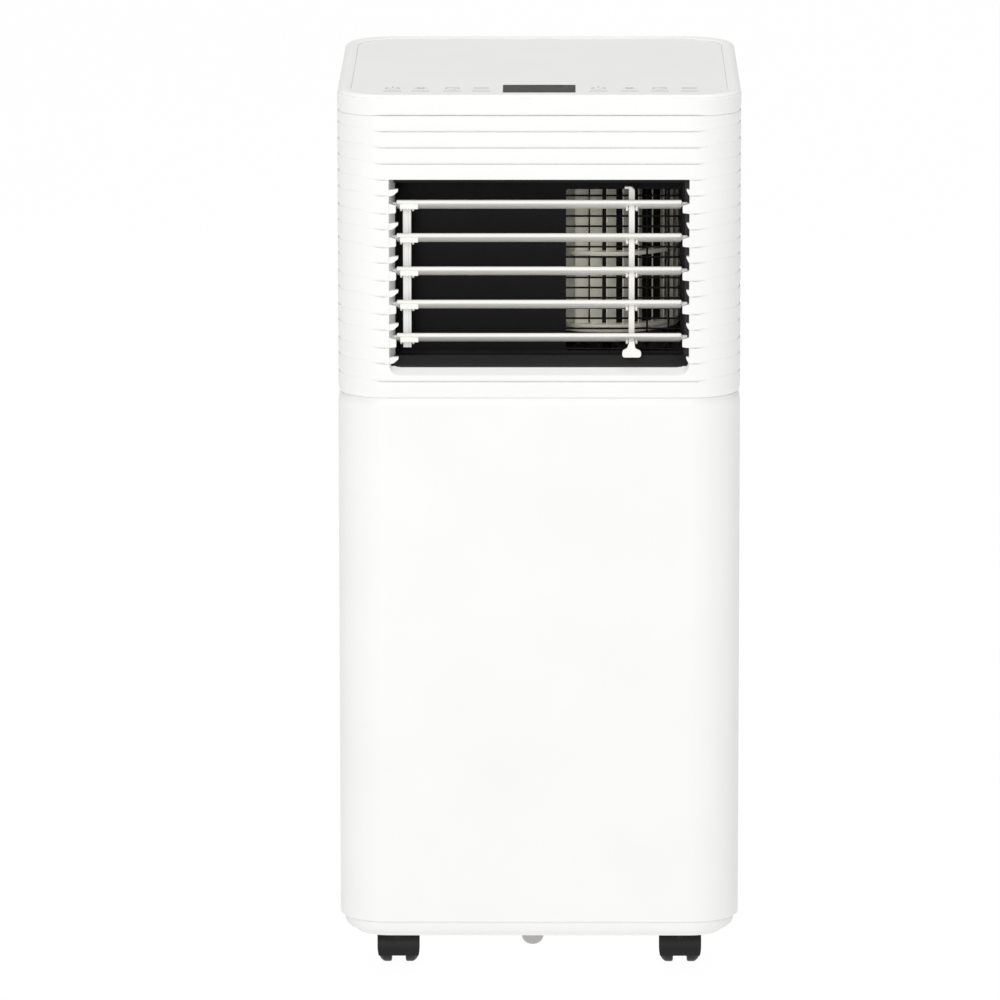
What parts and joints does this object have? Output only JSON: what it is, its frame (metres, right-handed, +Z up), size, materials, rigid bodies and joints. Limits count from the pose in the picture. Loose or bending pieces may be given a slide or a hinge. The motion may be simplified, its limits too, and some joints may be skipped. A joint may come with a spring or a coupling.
{
  "type": "portable air conditioner",
  "caption": "Upright rounded cabinet that cools a room: ribbed head with a louvred air outlet and touch panel, smooth lower body, rear exhaust collar, on twin-wheel casters.",
  "frame": {"origin": "on the floor, under the middle of the cabinet", "axes": "+Z up, the air outlet faces -Y, +X to the right of someone facing the outlet"},
  "size_m": [0.3, 0.33, 0.67],
  "materials": {
    "white_plastic": "satin",
    "pale_grey_plastic": "satin",
    "display_smoke": "gloss",
    "black_plastic": "matte",
    "charcoal_plastic": "matte",
    "fan_plastic": "matte",
    "filter_mesh": "woven mesh",
    "galvanised_steel": "galvanised",
    "bright_steel": "plated",
    "coil_fins": "fine fins",
    "copper": "drawn tube",
    "compressor_paint": "semi-gloss",
    "circuit_board": "solder mask",
    "electrics_box_plastic": "matte",
    "capacitor_can": "matte",
    "tyre_rubber": "matte"
  },
  "bodies": {
    "cabinet": {"top_cover": "white_plastic", "control_panel": "pale_grey_plastic", "display_window": "display_smoke", "display_board": "circuit_board", "front_upper_cover": "white_plastic", "rear_upper_cover": "white_plastic", "front_lower_cover": "white_plastic", "rear_lower_cover": "white_plastic", "grip_left": "white_plastic", "grip_right": "white_plastic", "base_pan": "pale_grey_plastic", "drip_tray": "pale_grey_plastic", "outlet_shroud": "black_plastic", "outlet_guard": "black_plastic", "evaporator_motor": "galvanised_steel", "evaporator_scroll": "black_plastic", "evaporator_coil": "coil_fins", "condenser_motor": "galvanised_steel", "condenser_scroll": "black_plastic", "condenser_coil": "coil_fins", "compressor": "compressor_paint", "accumulator": "compressor_paint", "suction_pipe": "copper", "discharge_pipe": "copper", "control_box": "electrics_box_plastic", "capacitor": "capacitor_can", "exhaust_collar": "white_plastic", "drain_plug_upper": "pale_grey_plastic", "drain_plug_lower": "pale_grey_plastic", "cord_gland": "charcoal_plastic", "base_bolt": "bright_steel"},
    "evaporator_fan": {"evaporator_wheel": "fan_plastic"},
    "condenser_fan": {"condenser_wheel": "fan_plastic"},
    "upper_intake": {"upper_grille": "white_plastic", "upper_filter": "filter_mesh"},
    "lower_intake": {"lower_grille": "white_plastic", "lower_filter": "filter_mesh"},
    "vane_link": {"vane_link": "white_plastic"},
    "vane_lever": {"vane_lever": "white_plastic"},
    "vane_1": {"vane_1": "white_plastic"},
    "vane_2": {"vane_2": "white_plastic"},
    "vane_3": {"vane_3": "white_plastic"},
    "vane_4": {"vane_4": "white_plastic"},
    "vane_5": {"vane_5": "white_plastic"},
    "caster_1": {"caster_hood_1": "charcoal_plastic", "caster_axle_1": "bright_steel"},
    "wheel_1l": {"caster_wheel_1l": "tyre_rubber"},
    "wheel_1r": {"caster_wheel_1r": "tyre_rubber"},
    "caster_2": {"caster_hood_2": "charcoal_plastic", "caster_axle_2": "bright_steel"},
    "wheel_2l": {"caster_wheel_2l": "tyre_rubber"},
    "wheel_2r": {"caster_wheel_2r": "tyre_rubber"},
    "caster_3": {"caster_hood_3": "charcoal_plastic", "caster_axle_3": "bright_steel"},
    "wheel_3l": {"caster_wheel_3l": "tyre_rubber"},
    "wheel_3r": {"caster_wheel_3r": "tyre_rubber"},
    "caster_4": {"caster_hood_4": "charcoal_plastic", "caster_axle_4": "bright_steel"},
    "wheel_4l": {"caster_wheel_4l": "tyre_rubber"},
    "wheel_4r": {"caster_wheel_4r": "tyre_rubber"}
  },
  "joints": [
    {"name": "vane_3_tilt", "type": "hinge", "parent": "cabinet", "child": "vane_3", "pos_m": [0, -0.15, 0.53675], "axis": [1, 0, 0], "range_deg": [-15, 35]},
    {"name": "vane_1_tilt", "type": "hinge", "parent": "cabinet", "child": "vane_1", "pos_m": [0, -0.15, 0.58675], "axis": [1, 0, 0], "range_deg": [-15, 35]},
    {"name": "vane_2_tilt", "type": "hinge", "parent": "cabinet", "child": "vane_2", "pos_m": [0, -0.15, 0.56175], "axis": [1, 0, 0], "range_deg": [-15, 35]},
    {"name": "vane_4_tilt", "type": "hinge", "parent": "cabinet", "child": "vane_4", "pos_m": [0, -0.15, 0.51175], "axis": [1, 0, 0], "range_deg": [-15, 35]},
    {"name": "vane_5_tilt", "type": "hinge", "parent": "cabinet", "child": "vane_5", "pos_m": [0, -0.15, 0.48675], "axis": [1, 0, 0], "range_deg": [-15, 35]},
    {"name": "link_pivot", "type": "hinge", "parent": "vane_3", "child": "vane_link", "pos_m": [-0.0985, -0.14623, 0.53262], "axis": [1, 0, 0], "range_deg": [-35, 15]},
    {"name": "lever_pivot", "type": "hinge", "parent": "vane_3", "child": "vane_lever", "pos_m": [0.0687, -0.14623, 0.53262], "axis": [1, 0, 0], "range_deg": [-35, 15]},
    {"name": "evaporator_fan_spin", "type": "hinge", "parent": "cabinet", "child": "evaporator_fan", "pos_m": [0.051, -0.048, 0.482], "axis": [0, 0, 1], "continuous": true},
    {"name": "condenser_fan_spin", "type": "hinge", "parent": "cabinet", "child": "condenser_fan", "pos_m": [0, 0.03, 0.275], "axis": [0, 0, 1], "continuous": true},
    {"name": "upper_intake_pull", "type": "slide", "parent": "cabinet", "child": "upper_intake", "axis": [0, 1, 0], "range_m": [0, 0.03]},
    {"name": "lower_intake_pull", "type": "slide", "parent": "cabinet", "child": "lower_intake", "axis": [0, 1, 0], "range_m": [0, 0.03]},
    {"name": "caster_1_swivel", "type": "hinge", "parent": "cabinet", "child": "caster_1", "pos_m": [-0.1065, -0.12, 0.03], "axis": [0, 0, 1], "continuous": true},
    {"name": "wheel_1l_roll", "type": "hinge", "parent": "caster_1", "child": "wheel_1l", "pos_m": [-0.1065, -0.112, 0.0135], "axis": [1, 0, 0], "continuous": true},
    {"name": "wheel_1r_roll", "type": "hinge", "parent": "caster_1", "child": "wheel_1r", "pos_m": [-0.1065, -0.112, 0.0135], "axis": [1, 0, 0], "continuous": true},
    {"name": "caster_2_swivel", "type": "hinge", "parent": "cabinet", "child": "caster_2", "pos_m": [0.1065, -0.12, 0.03], "axis": [0, 0, 1], "continuous": true},
    {"name": "wheel_2l_roll", "type": "hinge", "parent": "caster_2", "child": "wheel_2l", "pos_m": [0.1065, -0.112, 0.0135], "axis": [1, 0, 0], "continuous": true},
    {"name": "wheel_2r_roll", "type": "hinge", "parent": "caster_2", "child": "wheel_2r", "pos_m": [0.1065, -0.112, 0.0135], "axis": [1, 0, 0], "continuous": true},
    {"name": "caster_3_swivel", "type": "hinge", "parent": "cabinet", "child": "caster_3", "pos_m": [-0.1065, 0.12, 0.03], "axis": [0, 0, 1], "continuous": true},
    {"name": "wheel_3l_roll", "type": "hinge", "parent": "caster_3", "child": "wheel_3l", "pos_m": [-0.1065, 0.128, 0.0135], "axis": [1, 0, 0], "continuous": true},
    {"name": "wheel_3r_roll", "type": "hinge", "parent": "caster_3", "child": "wheel_3r", "pos_m": [-0.1065, 0.128, 0.0135], "axis": [1, 0, 0], "continuous": true},
    {"name": "caster_4_swivel", "type": "hinge", "parent": "cabinet", "child": "caster_4", "pos_m": [0.1065, 0.12, 0.03], "axis": [0, 0, 1], "continuous": true},
    {"name": "wheel_4l_roll", "type": "hinge", "parent": "caster_4", "child": "wheel_4l", "pos_m": [0.1065, 0.128, 0.0135], "axis": [1, 0, 0], "continuous": true},
    {"name": "wheel_4r_roll", "type": "hinge", "parent": "caster_4", "child": "wheel_4r", "pos_m": [0.1065, 0.128, 0.0135], "axis": [1, 0, 0], "continuous": true}
  ],
  "couplings": [
    {"joint": "vane_1_tilt", "follows": "vane_3_tilt", "ratio": 1},
    {"joint": "vane_2_tilt", "follows": "vane_3_tilt", "ratio": 1},
    {"joint": "vane_4_tilt", "follows": "vane_3_tilt", "ratio": 1},
    {"joint": "vane_5_tilt", "follows": "vane_3_tilt", "ratio": 1},
    {"joint": "link_pivot", "follows": "vane_3_tilt", "ratio": -1},
    {"joint": "lever_pivot", "follows": "vane_3_tilt", "ratio": -1}
  ]
}
